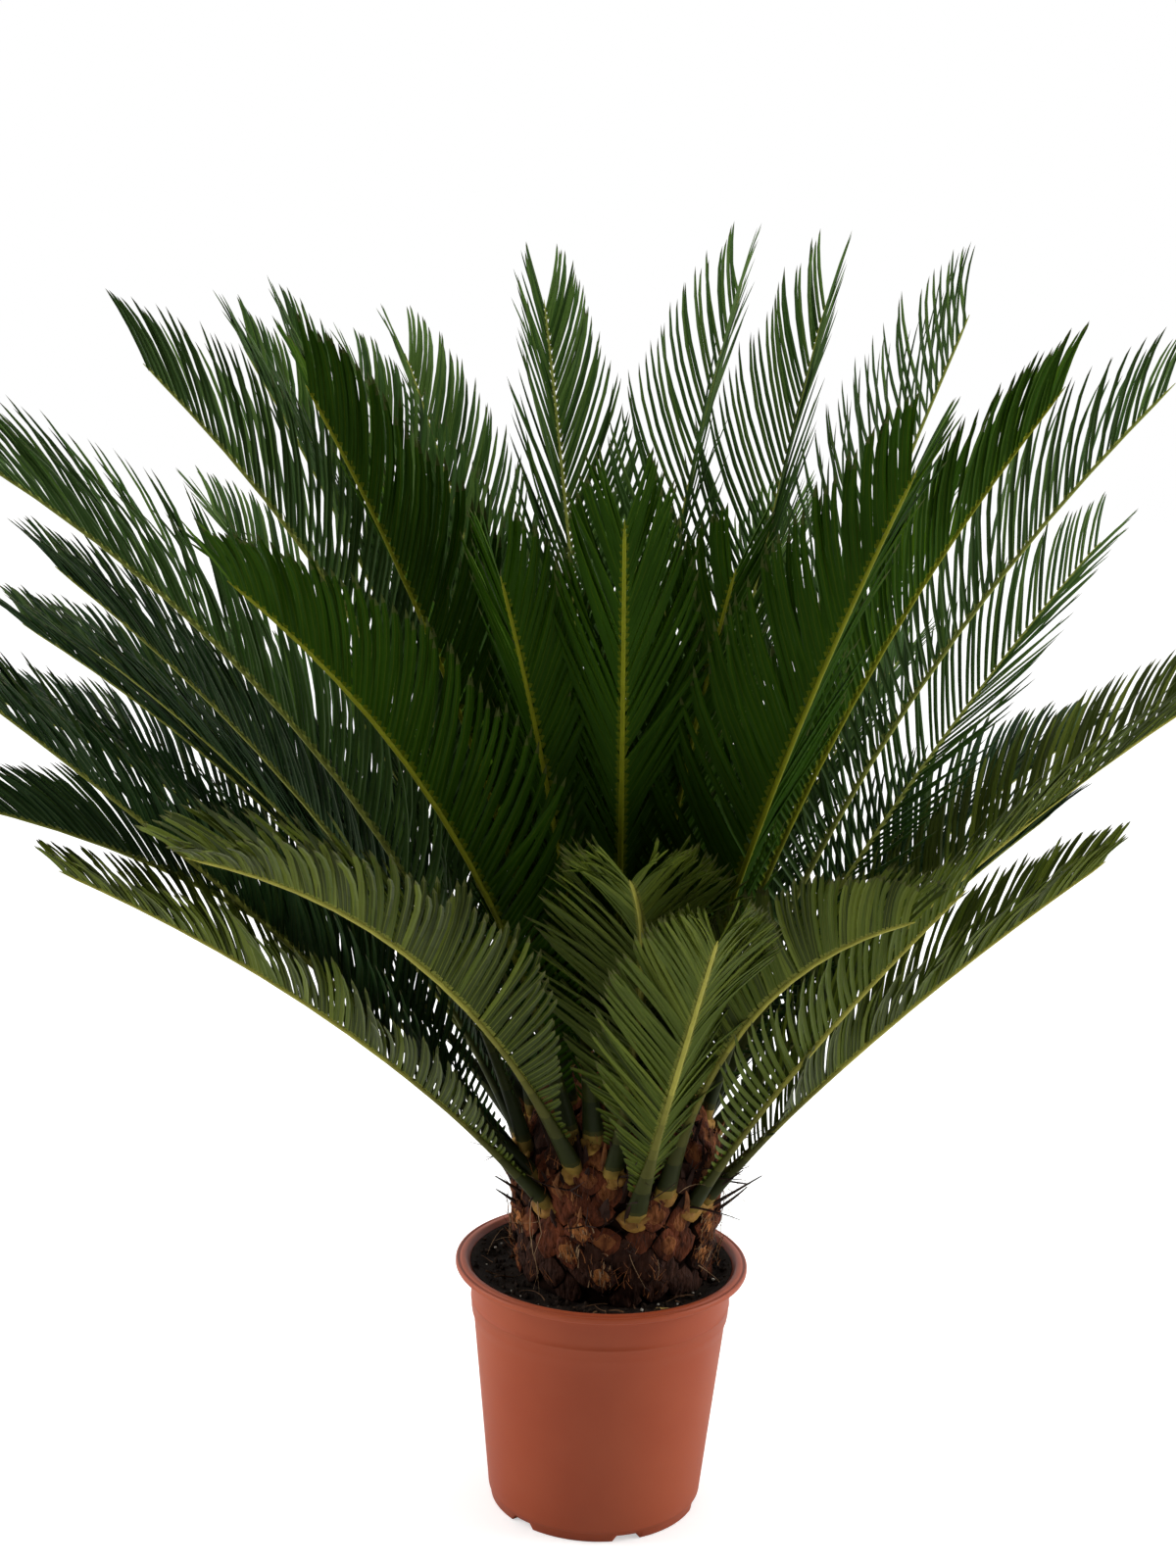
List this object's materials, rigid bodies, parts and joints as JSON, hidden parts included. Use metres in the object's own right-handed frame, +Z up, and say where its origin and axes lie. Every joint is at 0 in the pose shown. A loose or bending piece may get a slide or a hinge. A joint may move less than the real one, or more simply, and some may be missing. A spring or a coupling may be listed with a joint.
{
  "type": "potted sago palm",
  "caption": "Sago palm in a round nursery pot: short scaly trunk with a full rosette of arching feather fronds, standing on the flat underside of the pot.",
  "frame": {"origin": "centre of the pot's flat underside", "axes": "+Z up, +X to the right and -Y to the front as the plant is looked at in its main view"},
  "size_m": [1.223, 0.9867, 1.0509],
  "materials": {
    "terracotta_plastic": "smooth satin moulded plastic, terracotta colour",
    "potting_soil": "loose, dark, crumbly and matt",
    "bark": "rough dry leaf bases, matt brown",
    "leaf": "leathery dark green leaflets with a slight gloss"
  },
  "bodies": {
    "root": {"pot": "terracotta_plastic", "soil": "potting_soil", "trunk": "bark", "frond_top_1": "leaf", "frond_top_2": "leaf", "frond_top_3": "leaf", "frond_top_4": "leaf", "frond_top_5": "leaf", "frond_top_6": "leaf", "frond_upper_1": "leaf", "frond_upper_2": "leaf", "frond_upper_3": "leaf", "frond_upper_4": "leaf", "frond_upper_5": "leaf", "frond_upper_6": "leaf", "frond_upper_7": "leaf", "frond_middle_1": "leaf", "frond_middle_2": "leaf", "frond_middle_3": "leaf", "frond_middle_4": "leaf", "frond_middle_5": "leaf", "frond_middle_6": "leaf", "frond_middle_7": "leaf", "frond_middle_8": "leaf", "frond_middle_9": "leaf", "frond_middle_10": "leaf", "frond_lower_1": "leaf", "frond_lower_2": "leaf", "frond_lower_3": "leaf", "frond_lower_4": "leaf", "frond_lower_5": "leaf", "frond_lower_6": "leaf", "frond_lower_7": "leaf", "frond_lower_8": "leaf", "frond_lower_9": "leaf", "frond_lower_10": "leaf", "frond_lower_11": "leaf", "frond_lower_12": "leaf", "frond_outer_1": "leaf", "frond_outer_2": "leaf", "frond_outer_3": "leaf", "frond_outer_4": "leaf", "frond_outer_5": "leaf", "frond_skirt_1": "leaf", "frond_skirt_2": "leaf", "frond_skirt_3": "leaf", "frond_skirt_4": "leaf", "frond_skirt_5": "leaf", "frond_skirt_6": "leaf", "frond_skirt_7": "leaf", "frond_skirt_8": "leaf"}
  },
  "joints": []
}
